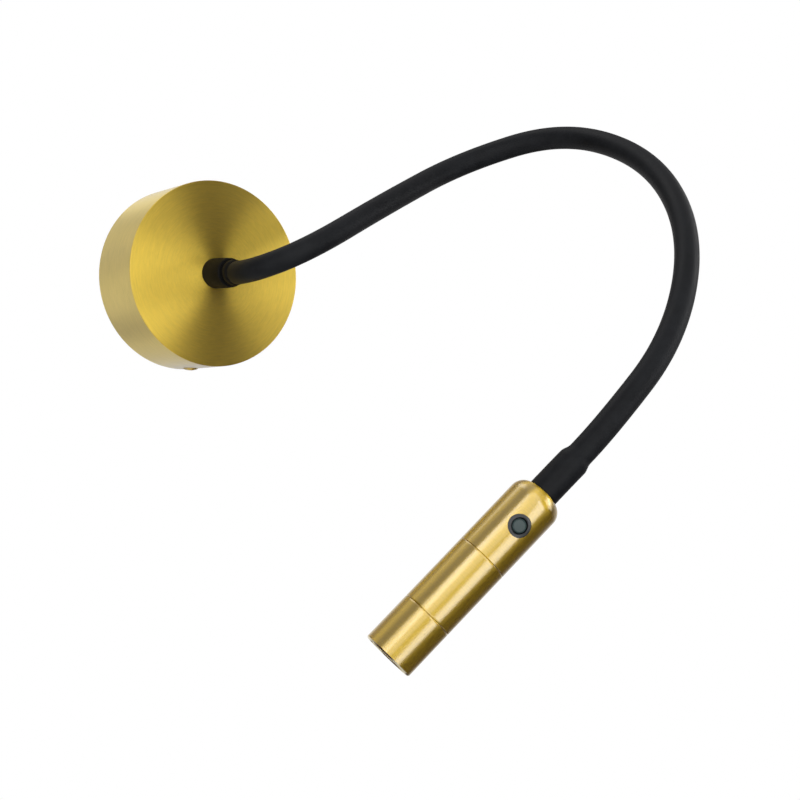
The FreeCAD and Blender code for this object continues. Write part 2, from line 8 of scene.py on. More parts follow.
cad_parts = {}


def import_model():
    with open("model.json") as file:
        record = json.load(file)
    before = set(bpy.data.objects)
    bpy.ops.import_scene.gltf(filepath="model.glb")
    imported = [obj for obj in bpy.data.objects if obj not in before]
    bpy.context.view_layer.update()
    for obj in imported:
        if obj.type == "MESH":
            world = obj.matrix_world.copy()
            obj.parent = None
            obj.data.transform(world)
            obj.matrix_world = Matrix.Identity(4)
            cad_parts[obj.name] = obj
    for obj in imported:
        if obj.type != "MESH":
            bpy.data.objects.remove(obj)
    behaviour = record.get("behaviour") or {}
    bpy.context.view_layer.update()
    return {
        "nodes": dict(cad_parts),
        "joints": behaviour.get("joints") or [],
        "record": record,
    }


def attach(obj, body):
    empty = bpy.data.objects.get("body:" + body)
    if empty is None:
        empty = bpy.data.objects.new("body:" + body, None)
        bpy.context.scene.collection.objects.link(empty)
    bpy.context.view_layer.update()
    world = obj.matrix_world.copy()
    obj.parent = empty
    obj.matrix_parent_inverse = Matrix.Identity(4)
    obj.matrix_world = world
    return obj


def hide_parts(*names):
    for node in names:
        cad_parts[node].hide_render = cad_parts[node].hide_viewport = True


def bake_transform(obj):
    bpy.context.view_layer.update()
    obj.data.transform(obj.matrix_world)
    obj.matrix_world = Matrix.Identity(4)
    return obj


# A wall reading lamp: brushed brass rose and head, black rubber-sleeved flexible arm.
# Metres, in the frame of the solids: the wall is y = 0, the lamp stands out along -Y, +Z is up.

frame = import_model()

MM = 0.001
TAU = 2 * math.pi
UP = Vector((0, 0, 1))


# Sizes, in millimetres, most of them those of the solids

PLAY = 0.1

# Rose cover, along its axis from the wall. Its side wall has paler colours of its own up to the height on the
# next line: a painted grazing reflection
ROSE_RADIUS, ROSE_DEPTH, ROSE_WALL, ROSE_EDGE = 40.0, 31.5, 1.5, 0.35
SIDE_SHEEN_TOP, SIDE_SHEEN_BLEND = 31.2, 0.1

# Cover screws and their holes: height over the wall, places out from the rose's axis, radii, slot
SCREW_HEIGHT = 8.0
SCREW_END, SCREW_SINK, SCREW_RIM, SCREW_TOP = 33.5, 38.4, 39.85, 40.8
SCREW_SHANK, SCREW_DOME = 2.0, 3.3
DOME_STEP = 0.15
SLOT_LENGTH, SLOT_WIDTH, SLOT_DEPTH = 8.0, 0.8, 0.8
HOLE_START, HOLE_TOP, HOLE_RADIUS, SINK_RADIUS = 30.0, 40.5, 2.1, 4.1

# Gland collar, along the rose's axis
COLLAR_RADIUS, COLLAR_TIP, COLLAR_END, COLLAR_EDGE = 6.5, 6.25, 45.7, 0.4
COLLAR_STRAIGHT, COLLAR_POCKET, COLLAR_BORE = 8.0, 33.3, 3.2
STEM_RADIUS, STEM_START = 5.0, 22.0

# Crimped ferrule, along the rose's axis up to its mouth
FERRULE_RADIUS, FERRULE_START, FERRULE_HOLE = 5.2, 33.4, 1.9
CUP_FLOOR, CUP_RADIUS = 35.0, 4.25
GROOVE_RADIUS, GROOVE_GAP, GROOVE_SLOPE = 4.8, 0.3, 0.1
LIP_START, LIP_RADIUS, LIP_BACK, LIP_FRONT = 47.4, 5.45, 0.7, 1.7
MOUTH, MOUTH_STEP = 51.1, 0.02

# Arm: rubber sleeve with a boot at the head, wound hose, lead
ARM_RADIUS, SLEEVE_BORE = 4.9, 4.2
BOOT_RADIUS, BOOT_BORE, BOOT_LENGTH, BOOT_TOTAL, BOOT_STEP = 5.9, 5.1, 15.4, 19.4, 1.0
HOSE_MEAN, HOSE_BORE, HOSE_WAVE, HOSE_PITCH = 3.96, 2.5, 0.12, 3.2
LEAD_RADIUS, LEAD_DEPTH, LEAD_START, LEAD_BEND, LEAD_TIP = 1.8, 10.8, 12.5, 5.5, 11.6

# Head, along its axis from its rear face
HEAD_RADIUS, HEAD_BORE = 10.0, 8.2
CAP_END, MIDDLE_END, HEAD_END = 31.6, 59.6, 79.6
CAP_ROUND, CAP_WALL, CAP_HOLE = 5.5, 4.0, 4.1
SPIGOT, SPIGOT_RADIUS, SPIGOT_BORE = 5.0, 8.1, 6.9
EDGE_CHAMFER, BORE_CHAMFER = 0.5, 0.3

# Button's hole, along the button's own axis from the head's
BUTTON_PLACE, BEZEL_RADIUS = 15.6, 4.15
DRILL_START, DRILL_END = 2.2, 12.0

# One side of the groove between two barrels: distance from the joint, depth under the surface
SEAM_POINTS = [(0, 0.5), (0.10, 0.45), (0.13, 0.06), (0.20, 0), (0.7, 0)]

# The arm's line: points that it rounds off, from the ferrule's mouth to the head's rear face
ARM_POINTS = [
    (0, -51.1, -1.45), (0.1, -64.1, -1.95), (16.1, -83.8, 6.5), (57.3, -75.2, 28.8), (106.4, -63.3, 53.2),
    (138.7, -96.1, 65.9), (143, -148.1, 47.3), (127.7, -190.1, 11), (96.6, -214.1, -33.5),
    (60.2, -215.1, -68.7), (44, -208.1, -86.1), (39.6, -206.2, -91),
]
LINE_STEP = 0.8

# A point behind the head that its axis runs through
HEAD_AXIS_POINT = (60, -215.1, -68.5)

# Fall of the gland's axis for each mm that it stands out from the rose
SAG = 0.066


# Meshes


def add_object(name, data):
    obj = bpy.data.objects.new(name, data)
    bpy.context.scene.collection.objects.link(obj)
    return obj


def shade_smooth(mesh, sharp):
    """Smooth shading, but for edges that turn by more than an angle in degrees."""
    for p in mesh.polygons:
        p.use_smooth = True
    mesh.set_sharp_from_angle(angle=math.radians(sharp))


def mesh_object(name, verts, faces, sharp):
    mesh = bpy.data.meshes.new(name)
    mesh.from_pydata([tuple(v) for v in verts], [], faces)
    mesh.validate()
    bm = bmesh.new()
    bm.from_mesh(mesh)
    bmesh.ops.remove_doubles(bm, verts=bm.verts, dist=1e-7)
    bmesh.ops.recalc_face_normals(bm, faces=bm.faces)
    bm.to_mesh(mesh)
    bm.free()
    shade_smooth(mesh, sharp)
    return add_object(name, mesh)


def band(lower, upper):
    """Faces between two rings of points. A ring on the axis is a single point."""
    faces = []
    sides = max(len(lower), len(upper))
    if sides == 1:
        return faces
    for k in range(sides):
        j = (k + 1) % sides
        if len(lower) == 1:
            faces.append((lower[0], upper[j], upper[k]))
        elif len(upper) == 1:
            faces.append((lower[k], lower[j], upper[0]))
        else:
            faces.append((lower[k], lower[j], upper[j], upper[k]))
    return faces


def lathe(name, outline, at, sides=128, sharp=35.0):
    """Turned piece: a closed outline of (along, radius) in mm about local Z, moved to its place."""
    verts, faces, rings = [], [], []
    for along, radius in outline:
        count = sides if radius else 1
        rings.append(range(len(verts), len(verts) + count))
        for k in range(count):
            a = TAU * k / sides
            verts.append((radius * math.cos(a) * MM, radius * math.sin(a) * MM, along * MM))
    for lower, upper in zip(rings, rings[1:] + rings[:1]):
        faces += band(lower, upper)
    obj = mesh_object(name, verts, faces, sharp)
    obj.matrix_world = at
    return obj


def fillet(along, radius, size, turn_from, turn_to, steps):
    """Points of a round about (along, radius), between two angles in degrees."""
    out = []
    for k in range(steps + 1):
        a = math.radians(turn_from + (turn_to - turn_from) * k / steps)
        out.append((along + size * math.cos(a), radius + size * math.sin(a)))
    return out


def axes(x, y, z, origin):
    """Matrix with three directions as its axes, at a place in metres."""
    m = Matrix((x, y, z)).transposed().to_4x4()
    m.translation = origin
    return m


def place(origin, z_axis, up):
    """Matrix at a place in mm, with local Z along an axis and local X as near as can be to another."""
    z = Vector(z_axis).normalized()
    x = Vector(up) - z * z.dot(Vector(up))
    x.normalize()
    return axes(x, z.cross(x), z, Vector(origin) * MM)


def cut(obj, cutter):
    """Boolean difference, applied. The cutter is used up."""
    mod = obj.modifiers.new("cut", "BOOLEAN")
    mod.object = cutter
    mod.operation = "DIFFERENCE"
    mod.solver = "EXACT"
    dg = bpy.context.evaluated_depsgraph_get()
    mesh = bpy.data.meshes.new_from_object(obj.evaluated_get(dg))
    obj.modifiers.clear()
    obj.data = mesh
    shade_smooth(mesh, sharp=30)
    bpy.data.objects.remove(cutter)


# Nodes


class Nodes:
    """Short calls for building a shader tree."""

    def __init__(self, name, owner=None):
        self.mat = owner or bpy.data.materials.new(name)
        self.mat.use_nodes = True
        self.tree = self.mat.node_tree
        self.bsdf = self.tree.nodes.get("Principled BSDF")

    def add(self, kind, **settings):
        node = self.tree.nodes.new(kind)
        for key, value in settings.items():
            setattr(node, key, value)
        return node

    def link(self, out, into):
        self.tree.links.new(out, into)

    def feed(self, value, socket):
        """Sets a socket to a number or a colour, or links another socket to it."""
        if isinstance(value, (int, float)):
            socket.default_value = value
        elif isinstance(value, tuple):
            socket.default_value = value + (1.0,)
        else:
            self.link(value, socket)

    def call(self, kind, *values, **settings):
        """Adds a node, feeds its inputs in their order and gives its outputs."""
        node = self.add(kind, **settings)
        for value, socket in zip(values, node.inputs):
            self.feed(value, socket)
        return node.outputs

    def math(self, operation, *values):
        return self.call("ShaderNodeMath", *values, operation=operation)[0]

    def weigh(self, a, b, share):
        """Sum of two values, of which the second has the share given."""
        return self.math("ADD", self.math("MULTIPLY", a, 1 - share), self.math("MULTIPLY", b, share))

    def coords(self):
        return self.add("ShaderNodeTexCoord").outputs["Object"]

    def split(self, vector):
        return self.call("ShaderNodeSeparateXYZ", vector)[:3]

    def join(self, x, y, z):
        return self.call("ShaderNodeCombineXYZ", x, y, z)[0]

    def length(self, vector):
        return self.call("ShaderNodeVectorMath", vector, operation="LENGTH")["Value"]

    def noise(self, vector, scale, detail=2.0, roughness=0.5):
        node = self.add("ShaderNodeTexNoise")
        self.link(vector, node.inputs["Vector"])
        node.inputs["Scale"].default_value = scale
        node.inputs["Detail"].default_value = detail
        node.inputs["Roughness"].default_value = roughness
        return node.outputs["Fac"]

    def span(self, value, low, high, new_low=0.0, new_high=1.0):
        """A value between two limits, spread between two others."""
        node = self.add("ShaderNodeMapRange", clamp=True)
        self.link(value, node.inputs["Value"])
        for key, number in (("From Min", low), ("From Max", high), ("To Min", new_low), ("To Max", new_high)):
            node.inputs[key].default_value = number
        return node.outputs["Result"]

    def mix(self, factor, a, b):
        node = self.add("ShaderNodeMix", data_type="RGBA")
        self.link(factor, node.inputs["Factor"])
        for key, value in (("A", a), ("B", b)):
            self.feed(value, [s for s in node.inputs if s.name == key and s.type == "RGBA"][0])
        return [s for s in node.outputs if s.type == "RGBA"][0]

    def bump(self, height, strength, distance):
        node = self.add("ShaderNodeBump")
        node.inputs["Strength"].default_value = strength
        node.inputs["Distance"].default_value = distance
        self.link(height, node.inputs["Height"])
        self.link(node.outputs["Normal"], self.bsdf.inputs["Normal"])

    def colour(self, socket):
        self.link(socket, self.bsdf.inputs["Base Color"])

    def rough(self, socket):
        self.link(socket, self.bsdf.inputs["Roughness"])

    def set(self, **values):
        for key, value in values.items():
            self.bsdf.inputs[key.replace("_", " ")].default_value = value


# Materials


def turned_coords(n, fine, along_marks):
    """Coordinates that run fast across a turned piece's tool marks and slowly along them, and plain z."""
    x, y, z = n.split(n.coords())
    flat = n.join(x, y, 0.0)
    way_x, way_y, _ = n.split(n.call("ShaderNodeVectorMath", flat, operation="NORMALIZE")["Vector"])
    across = n.math("MULTIPLY", n.math("ADD", n.length(flat), z), fine)
    return n.join(n.math("MULTIPLY", way_x, along_marks), n.math("MULTIPLY", way_y, along_marks), across), z


def brushed_brass(name, fine, light, dark, coat_ior, side=None):
    """Turned brass. Fine is its marks to the metre; side, if given, is two paler colours for the rose's side
    wall, a painted grazing reflection.
    """
    n = Nodes(name)
    marks, z = turned_coords(n, fine, along_marks=2.2)
    wide_marks, _ = turned_coords(n, fine / 4, along_marks=7.0)
    fine_lines = n.noise(marks, scale=1.0, detail=3.0, roughness=0.62)
    wide_lines = n.noise(wide_marks, scale=1.0, detail=3.0, roughness=0.65)
    lines = n.weigh(fine_lines, wide_lines, share=0.5)
    shade = n.span(n.weigh(lines, n.noise(n.coords(), scale=60.0), share=0.15), 0.36, 0.64)
    tone = n.mix(shade, dark, light)
    # Below a height on the rose's axis the colours are paler: a painted grazing reflection on the side wall,
    # not a different metal
    if side:
        side_sheen_light, side_sheen_dark = side
        above = n.span(z, (SIDE_SHEEN_TOP - SIDE_SHEEN_BLEND) * MM, SIDE_SHEEN_TOP * MM)
        tone = n.mix(above, n.mix(shade, side_sheen_dark, side_sheen_light), tone)
    n.colour(tone)
    n.rough(n.span(lines, 0.34, 0.66, 0.47, 0.55))
    n.bump(fine_lines, strength=0.06, distance=0.00002)
    tangent = n.add("ShaderNodeTangent", direction_type="RADIAL", axis="Z")
    n.link(tangent.outputs[0], n.bsdf.inputs["Tangent"])
    n.set(Metallic=1.0, Anisotropic=0.97, Anisotropic_Rotation=0.25)
    n.set(Coat_Weight=1.0, Coat_Roughness=0.20, Coat_IOR=coat_ior)
    return n.mat


def black_rubber(name):
    n = Nodes(name)
    where = n.coords()
    grain = n.noise(where, scale=1500.0, detail=4.0, roughness=0.6)
    cloud = n.noise(where, scale=45.0, detail=3.0)
    scuff = n.noise(where, scale=260.0)
    tone = n.weigh(cloud, scuff, share=0.4)
    n.colour(n.mix(n.span(tone, 0.35, 0.65), (0.0060, 0.0066, 0.0078), (0.0115, 0.0125, 0.0145)))
    n.rough(n.span(tone, 0.3, 0.7, 0.46, 0.60))
    n.bump(grain, strength=0.35, distance=0.00005)
    n.set(Specular_IOR_Level=0.12)
    return n.mat


def plain(name, dark, light, rough, scale=None, bump=0.15, depth=0.00003, **more):
    """A plastic, a paint or a metal with fine grain. Without a scale, its grain is tool marks."""
    n = Nodes(name)
    if scale:
        grain = n.noise(n.coords(), scale, detail=3.0, roughness=0.6)
    else:
        marks, _ = turned_coords(n, 6000.0, along_marks=2.0)
        grain = n.noise(marks, scale=1.0, detail=3.0, roughness=0.6)
    tone = n.weigh(grain, n.noise(n.coords(), scale=120.0), share=0.5)
    n.colour(n.mix(n.span(tone, 0.36, 0.64), dark, light))
    n.rough(n.span(grain, 0.3, 0.7, *rough))
    n.bump(grain, bump, depth)
    n.set(**more)
    return n.mat


def clear_lens(name):
    n = Nodes(name)
    haze = n.noise(n.coords(), scale=300.0)
    n.colour(n.mix(n.span(haze, 0.3, 0.7), (0.93, 0.95, 0.96), (0.98, 0.99, 1.0)))
    n.rough(n.span(haze, 0.3, 0.7, 0.02, 0.06))
    n.bump(haze, strength=0.03, distance=0.00002)
    n.set(Transmission_Weight=1.0, IOR=1.49)
    return n.mat


# Metals

# The rose's brass; its paler side-wall colours are a painted grazing reflection
brass_face = brushed_brass(
    "brass_rose", 5200.0, (0.90, 0.66, 0.104), (0.74, 0.54, 0.086), coat_ior=1.36,
    side=((0.88, 0.71, 0.24), (0.75, 0.61, 0.19)))
brass_head = brushed_brass(
    "brass_head", 7000.0, (0.86, 0.59, 0.054), (0.70, 0.484, 0.044), coat_ior=2.0)
# Brass for the front barrel's edge: its low roughness is a real polish, its pale colour a painted highlight
edge_highlight_brass = plain(
    "edge_highlight_brass", (0.86, 0.76, 0.50), (0.94, 0.86, 0.62), (0.16, 0.26), Metallic=1.0)
black_metal = plain(
    "black_metal", (0.0050, 0.0049, 0.0047), (0.0092, 0.0088, 0.0084), (0.42, 0.55), scale=1200.0,
    Specular_IOR_Level=0.045)
zinc = plain(
    "zinc_plate", (0.52, 0.52, 0.50), (0.66, 0.66, 0.64), (0.28, 0.42), scale=260.0, Metallic=1.0)
hose_steel = plain(
    "hose_steel", (0.40, 0.40, 0.39), (0.55, 0.55, 0.54), (0.25, 0.4), scale=500.0, Metallic=1.0)
aluminium = plain(
    "turned_aluminium", (0.66, 0.66, 0.67), (0.80, 0.80, 0.81), (0.25, 0.4), Metallic=1.0)
chrome = plain(
    "reflector_chrome", (0.80, 0.80, 0.81), (0.90, 0.90, 0.91), (0.06, 0.14), scale=400.0, bump=0.03,
    Metallic=1.0)

# Rubber, foam and plastics

rubber = black_rubber("black_rubber")
seal = plain("seal_rubber", (0.014, 0.014, 0.014), (0.024, 0.024, 0.024), (0.55, 0.7), scale=1500.0)
foam = plain(
    "adhesive_foam", (0.62, 0.62, 0.56), (0.74, 0.74, 0.68), (0.8, 0.95), scale=2200.0,
    bump=0.6, depth=0.0002)
white_plastic = plain("case_plastic", (0.76, 0.76, 0.74), (0.84, 0.84, 0.82), (0.45, 0.6), scale=1400.0)
jacket = plain("cable_jacket", (0.70, 0.70, 0.68), (0.80, 0.80, 0.78), (0.4, 0.5), scale=900.0)
brown_wire = plain("brown_insulation", (0.20, 0.09, 0.045), (0.28, 0.13, 0.07), (0.35, 0.45), scale=900.0)
red_wire = plain("red_insulation", (0.42, 0.02, 0.015), (0.52, 0.035, 0.025), (0.35, 0.45), scale=900.0)
black_plastic = plain(
    "switch_plastic", (0.012, 0.012, 0.013), (0.022, 0.022, 0.024), (0.4, 0.5), scale=1500.0)
bezel_plastic = plain(
    "bezel_plastic", (0.016, 0.018, 0.020), (0.030, 0.033, 0.036), (0.30, 0.42), scale=1600.0)
button_plastic = plain(
    "button_plastic", (0.028, 0.047, 0.047), (0.040, 0.064, 0.063), (0.32, 0.45), scale=1400.0,
    Specular_IOR_Level=0.36)

# Boards, light source and lens

green_board = plain("solder_mask", (0.012, 0.10, 0.035), (0.02, 0.16, 0.06), (0.25, 0.4), scale=500.0)
white_board = plain("white_board", (0.78, 0.78, 0.76), (0.86, 0.86, 0.84), (0.3, 0.4), scale=500.0)
phosphor = plain("led_phosphor", (0.78, 0.60, 0.09), (0.88, 0.70, 0.14), (0.25, 0.35), scale=900.0)
glass = clear_lens("clear_lens")

SLOT_MATERIAL = {
    "brushed_brass": brass_face, "steel": zinc, "hose_steel": hose_steel, "black_metal": black_metal,
    "aluminium": aluminium, "reflector_chrome": chrome, "black_rubber": rubber, "seal_rubber": seal,
    "adhesive_foam": foam, "case_plastic": white_plastic, "cable_jacket": jacket,
    "wire_insulation": brown_wire, "red_insulation": red_wire, "switch_plastic": black_plastic,
    "bezel_plastic": bezel_plastic, "button_plastic": button_plastic, "board": green_board,
    "led_board_white": white_board, "led_phosphor": phosphor, "clear_lens": glass,
}


def dress(obj, material):
    obj.data.materials.clear()
    obj.data.materials.append(material)


for part in frame["record"]["subparts"]:
    dress(frame["nodes"][part["node"]], SLOT_MATERIAL[part["material_slot"]])


def finish_piece(obj, material, body, slot, *nodes):
    """Gives a piece its material and body, and hides the solids that it stands for, if any. The slot is not
    used.
    """
    dress(obj, material)
    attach(obj, body)
    if nodes:
        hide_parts(*nodes)


# Rose: local Z out of the wall, local X up

ROSE = place((0, 0, 0), (0, -1, 0), UP)


def screw_place(side):
    """Axis of a cover screw, out of the rose's side. Side 1 is its top, -1 its bottom."""
    return place((0, -SCREW_HEIGHT, 0), (0, 0, side), (0, 1, 0))


def rose_cover():
    inner = ROSE_RADIUS - ROSE_WALL
    ceiling = ROSE_DEPTH - ROSE_WALL
    outline = [(0, inner), (0, ROSE_RADIUS), (ROSE_DEPTH - 2 * ROSE_EDGE, ROSE_RADIUS)]
    outline += fillet(ROSE_DEPTH - ROSE_EDGE, ROSE_RADIUS - ROSE_EDGE, ROSE_EDGE, 90, 0, steps=5)
    outline += [(ROSE_DEPTH, ROSE_RADIUS - 2 * ROSE_EDGE), (ROSE_DEPTH, STEM_RADIUS + PLAY)]
    outline += [(ceiling, STEM_RADIUS + PLAY), (ceiling, inner)]
    obj = lathe("rose_cover", outline, ROSE, sides=192, sharp=50)
    hole = [(HOLE_START, 0), (HOLE_START, HOLE_RADIUS), (SCREW_SINK, HOLE_RADIUS)]
    hole += [(HOLE_TOP, SINK_RADIUS), (HOLE_TOP, 0)]
    for side in (1, -1):
        cut(obj, lathe("hole", hole, screw_place(side), sides=48))
    finish_piece(obj, brass_face, "rose", "brushed_brass", "canopy_cover")


def slot_cutter(at):
    """Block that cuts the slot in the head of a cover screw."""
    bpy.ops.mesh.primitive_cube_add(size=1.0)
    cutter = bpy.context.active_object
    size = Matrix.Diagonal((SLOT_LENGTH * MM, SLOT_WIDTH * MM, 2 * SLOT_DEPTH * MM, 1))
    cutter.matrix_world = at @ Matrix.Translation((0, 0, SCREW_TOP * MM)) @ size
    bpy.context.view_layer.update()
    return cutter


def rose_screws():
    """Raised countersunk slotted heads at six and twelve o'clock."""
    rise = SCREW_TOP - SCREW_RIM
    outline = [(SCREW_END, 0), (SCREW_END, SCREW_SHANK), (SCREW_SINK, SCREW_SHANK), (SCREW_RIM, SCREW_DOME)]
    for k in range(1, 10):
        a = DOME_STEP * k
        outline.append((SCREW_RIM + rise * math.sin(a), SCREW_DOME * math.cos(a)))
    outline.append((SCREW_TOP, 0))
    for name, side in (("rose_screw_top", 1), ("rose_screw_bottom", -1)):
        at = screw_place(side)
        obj = lathe(name, outline, at, sides=48)
        cut(obj, slot_cutter(at))
        finish_piece(obj, brass_head, "rose", "brushed_brass", "cover_screws")


# Gland, on the rose's axis


def fall(along):
    """How far the gland's axis has fallen, in mm, at a distance from the wall in mm."""
    return SAG * max(0.0, along - ROSE_DEPTH)


def sagging(obj):
    """Lets a piece on the rose's front droop a little under the arm, more towards its end."""
    for v in obj.data.vertices:
        v.co.x -= fall(v.co.z / MM) * MM
    return obj


def collar():
    outline = [(STEM_START, COLLAR_BORE), (STEM_START, STEM_RADIUS), (ROSE_DEPTH, STEM_RADIUS)]
    outline += [(ROSE_DEPTH, COLLAR_RADIUS), (ROSE_DEPTH + COLLAR_STRAIGHT, COLLAR_RADIUS)]
    outline += fillet(COLLAR_END - COLLAR_EDGE, COLLAR_TIP - COLLAR_EDGE, COLLAR_EDGE, 80, 0, steps=5)
    outline += [(COLLAR_END, FERRULE_RADIUS + PLAY), (COLLAR_POCKET, FERRULE_RADIUS + PLAY)]
    outline += [(COLLAR_POCKET, COLLAR_BORE)]
    obj = sagging(lathe("collar", outline, ROSE, sides=96))
    finish_piece(obj, black_metal, "rose", "black_metal", "gland_collar")


def ferrule():
    """Crimped ferrule: a deep groove, then a plain ring that rounds over to the sleeve."""
    groove = COLLAR_END + GROOVE_GAP
    outline = [(FERRULE_START, FERRULE_HOLE), (FERRULE_START, FERRULE_RADIUS), (groove, FERRULE_RADIUS)]
    outline += [(groove + GROOVE_SLOPE, GROOVE_RADIUS), (LIP_START - GROOVE_SLOPE, GROOVE_RADIUS)]
    outline += fillet(LIP_START + LIP_BACK, LIP_RADIUS - LIP_BACK, LIP_BACK, 180, 90, steps=5)
    outline += fillet(MOUTH - LIP_FRONT, LIP_RADIUS - LIP_FRONT, LIP_FRONT, 90, 42, steps=8)
    outline += [(MOUTH, ARM_RADIUS + MOUTH_STEP), (MOUTH, CUP_RADIUS)]
    outline += [(CUP_FLOOR, CUP_RADIUS), (CUP_FLOOR, FERRULE_HOLE)]
    obj = sagging(lathe("arm_ferrule", outline, ROSE, sides=96))
    finish_piece(obj, black_metal, "rose", "black_metal", "base_ferrule")


# Arm


def arm_line():
    """The arm's smooth line, sampled from its spline."""
    curve = bpy.data.curves.new("arm_line", "CURVE")
    curve.dimensions = "3D"
    spline = curve.splines.new("NURBS")
    spline.points.add(len(ARM_POINTS) - 1)
    for point, at in zip(spline.points, ARM_POINTS):
        point.co = (at[0] * MM, at[1] * MM, at[2] * MM, 1)
    spline.order_u = 3
    spline.use_endpoint_u = True
    spline.resolution_u = 24
    obj = add_object("arm_line", curve)
    bpy.context.view_layer.update()
    mesh = bpy.data.meshes.new_from_object(obj.evaluated_get(bpy.context.evaluated_depsgraph_get()))
    line = [v.co.copy() for v in mesh.vertices]
    bpy.data.objects.remove(obj)
    bpy.data.meshes.remove(mesh)
    return line


def resample(line, step):
    """Points evenly spaced along a line, with their distances from its start."""
    lengths = [0.0]
    for a, b in zip(line, line[1:]):
        lengths.append(lengths[-1] + (b - a).length)
    count = round(lengths[-1] / step)
    out, k = [], 0
    for i in range(count + 1):
        s = lengths[-1] * i / count
        while k < len(line) - 2 and lengths[k + 1] < s:
            k += 1
        t = (s - lengths[k]) / (lengths[k + 1] - lengths[k])
        out.append((s, line[k].lerp(line[k + 1], t)))
    return out


def frames(points, x=UP):
    """Points with two directions across their line that don't twist about it. It doesn't start along x."""
    out = []
    for i, (s, p) in enumerate(points):
        before = points[max(i - 1, 0)][1]
        after = points[min(i + 1, len(points) - 1)][1]
        t = (after - before).normalized()
        x = (x - t * x.dot(t)).normalized()
        out.append((s, p, x, t.cross(x)))
    return out


LINE = frames(resample(arm_line(), LINE_STEP * MM))
LINE_END = len(LINE) - 1
TOTAL = LINE[-1][0]
HINGES = [j for j in frame["joints"] if j["type"] == "hinge"]
BODIES = ["rose"] + [j["child"] for j in HINGES]


def nearest(point):
    return min(range(len(LINE)), key=lambda k: (LINE[k][1] - point).length)


# The arm's line is cut midway between hinges, so that a stretch has one hinge in it, and the end ones none
STOPS = [0] + [nearest(Vector(j["pos_m"])) for j in HINGES] + [LINE_END]
CUTS = [0] + [(a + b) // 2 for a, b in zip(STOPS, STOPS[1:])] + [LINE_END]
STRETCHES = len(CUTS) - 1


def to_head(s):
    """Distance to the head in mm, from a distance along the line in metres."""
    return (TOTAL - s) / MM


def sleeve_radius(s, a):
    """Outer radius of the rubber sleeve, in mm. It swells to a boot at the head."""
    t = (to_head(s) - BOOT_LENGTH) / (BOOT_TOTAL - BOOT_LENGTH)
    t = min(max(t, 0.0), 1.0)
    return BOOT_RADIUS + (ARM_RADIUS - BOOT_RADIUS) * t * t * (3 - 2 * t)


def sleeve_bore(s, a):
    """Inner radius of the rubber sleeve, in mm, wider round the ferrule at the head."""
    return BOOT_BORE if to_head(s) < BOOT_LENGTH + BOOT_STEP else SLEEVE_BORE


def hose_radius(s, a):
    """Outer radius of the hose, in mm, with the spiral of its windings."""
    return HOSE_MEAN + HOSE_WAVE * math.sin(TAU * s / (HOSE_PITCH * MM) + a)


def tube(name, line, outer, inner, sides):
    """Tube along a stretch of line, or a solid bar where inner is None.

    A radius is a number in mm, or a function of the distance along the line and the angle round it.
    """
    verts, faces, shells = [], [], []
    for radius in (outer, inner):
        if radius is None:
            continue
        rings = []
        for s, p, x, y in line:
            rings.append(range(len(verts), len(verts) + sides))
            for i in range(sides):
                a = TAU * i / sides
                r = radius(s, a) if callable(radius) else radius
                verts.append(p + (x * math.cos(a) + y * math.sin(a)) * r * MM)
        for lower, upper in zip(rings, rings[1:]):
            faces += band(lower, upper)
        shells.append(rings)
    for end in (0, -1):
        if inner is None:
            faces.append(tuple(shells[0][end]))
        else:
            faces += band(shells[0][end], shells[1][end])
    return mesh_object(name, verts, faces, sharp=60)


def arm_piece(layer, k, node, material, outer, inner, sides, short=0):
    """One stretch of a layer of the arm. The last one may end some steps short of the line's end."""
    last = min(CUTS[k + 1], LINE_END - short)
    obj = tube("%s_%d" % (layer, k), LINE[CUTS[k]:last + 1], outer, inner, sides)
    obj.data.materials.append(material)
    if k == 0:
        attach(obj, BODIES[0])
    elif k == STRETCHES - 1:
        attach(obj, BODIES[-1])
    else:
        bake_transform(obj)
    if k < len(BODIES):
        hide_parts("%s_%d" % (node, k + 1))


def make_arm():
    for k in range(STRETCHES):
        arm_piece("rubber_sleeve", k, "sleeve", rubber, sleeve_radius, sleeve_bore, 48)
        arm_piece("steel_hose", k, "hose", hose_steel, hose_radius, HOSE_BORE, 24, short=2)
        arm_piece("core_lead", k, "lead", jacket, LEAD_RADIUS, None, 16)


# Ends of the hose and the lead inside the gland, the rose and the head


def gland_point(along):
    """Point on the gland's axis, from a distance to the wall in mm."""
    return Vector((0, -along, -fall(along))) * MM


def hose_root():
    path = [(along * MM, gland_point(along)) for along in range(int(CUP_FLOOR), math.ceil(MOUTH))]
    obj = tube("steel_hose_root", frames(path), hose_radius, HOSE_BORE, 24)
    finish_piece(obj, hose_steel, "rose", "hose_steel")


def lead_root():
    """The lead comes up inside the rose, bends and runs out through the gland."""
    path = []
    for down in (LEAD_START, (LEAD_START + LEAD_BEND) / 2, LEAD_BEND):
        path.append(Vector((0, -LEAD_DEPTH, -down)) * MM)
    for turn in range(15, 105, 15):
        a = math.radians(turn)
        out, down = LEAD_BEND * (1 - math.cos(a)), LEAD_BEND * (1 - math.sin(a))
        path.append(Vector((0, -LEAD_DEPTH - out, -down)) * MM)
    path += [gland_point(along) for along in (*range(20, 50, 5), MOUTH)]
    line = frames(list(enumerate(path)), x=Vector((1, 0, 0)))
    finish_piece(tube("core_lead_root", line, LEAD_RADIUS, None, 16), jacket, "rose", "cable_jacket")


def lead_tip():
    path = [(HEAD_REAR + HEAD_AXIS * along) * MM for along in (0, 4, 8, LEAD_TIP)]
    line = frames(list(enumerate(path)))
    finish_piece(tube("core_lead_tip", line, LEAD_RADIUS, None, 16), jacket, "head", "cable_jacket")


# Head: local Z from the rear to the lens, local X towards the button

